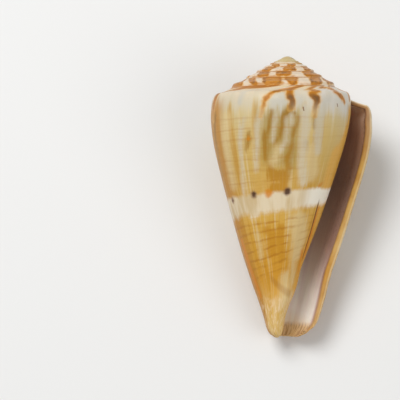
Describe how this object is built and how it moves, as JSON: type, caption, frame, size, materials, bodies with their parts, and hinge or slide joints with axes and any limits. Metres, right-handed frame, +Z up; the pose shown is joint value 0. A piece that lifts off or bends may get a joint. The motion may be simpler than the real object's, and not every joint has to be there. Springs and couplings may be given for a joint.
{
  "type": "conus namocanus shell",
  "caption": "Cone shell with a low stepped spire and a long narrow aperture, lying on its back on a small flat spot.",
  "frame": {"origin": "centre of the shell's bounding box, on the surface that its flat spot rests on", "axes": "+Y along the shell from its anterior end to its apex, +X from the shell's left side to the outer lip, +Z up, out of the aperture"},
  "size_m": [0.0374, 0.0634, 0.0357],
  "materials": {
    "shell_porcelain": "gloss"
  },
  "bodies": {
    "root": {"shell": "shell_porcelain"}
  },
  "joints": []
}
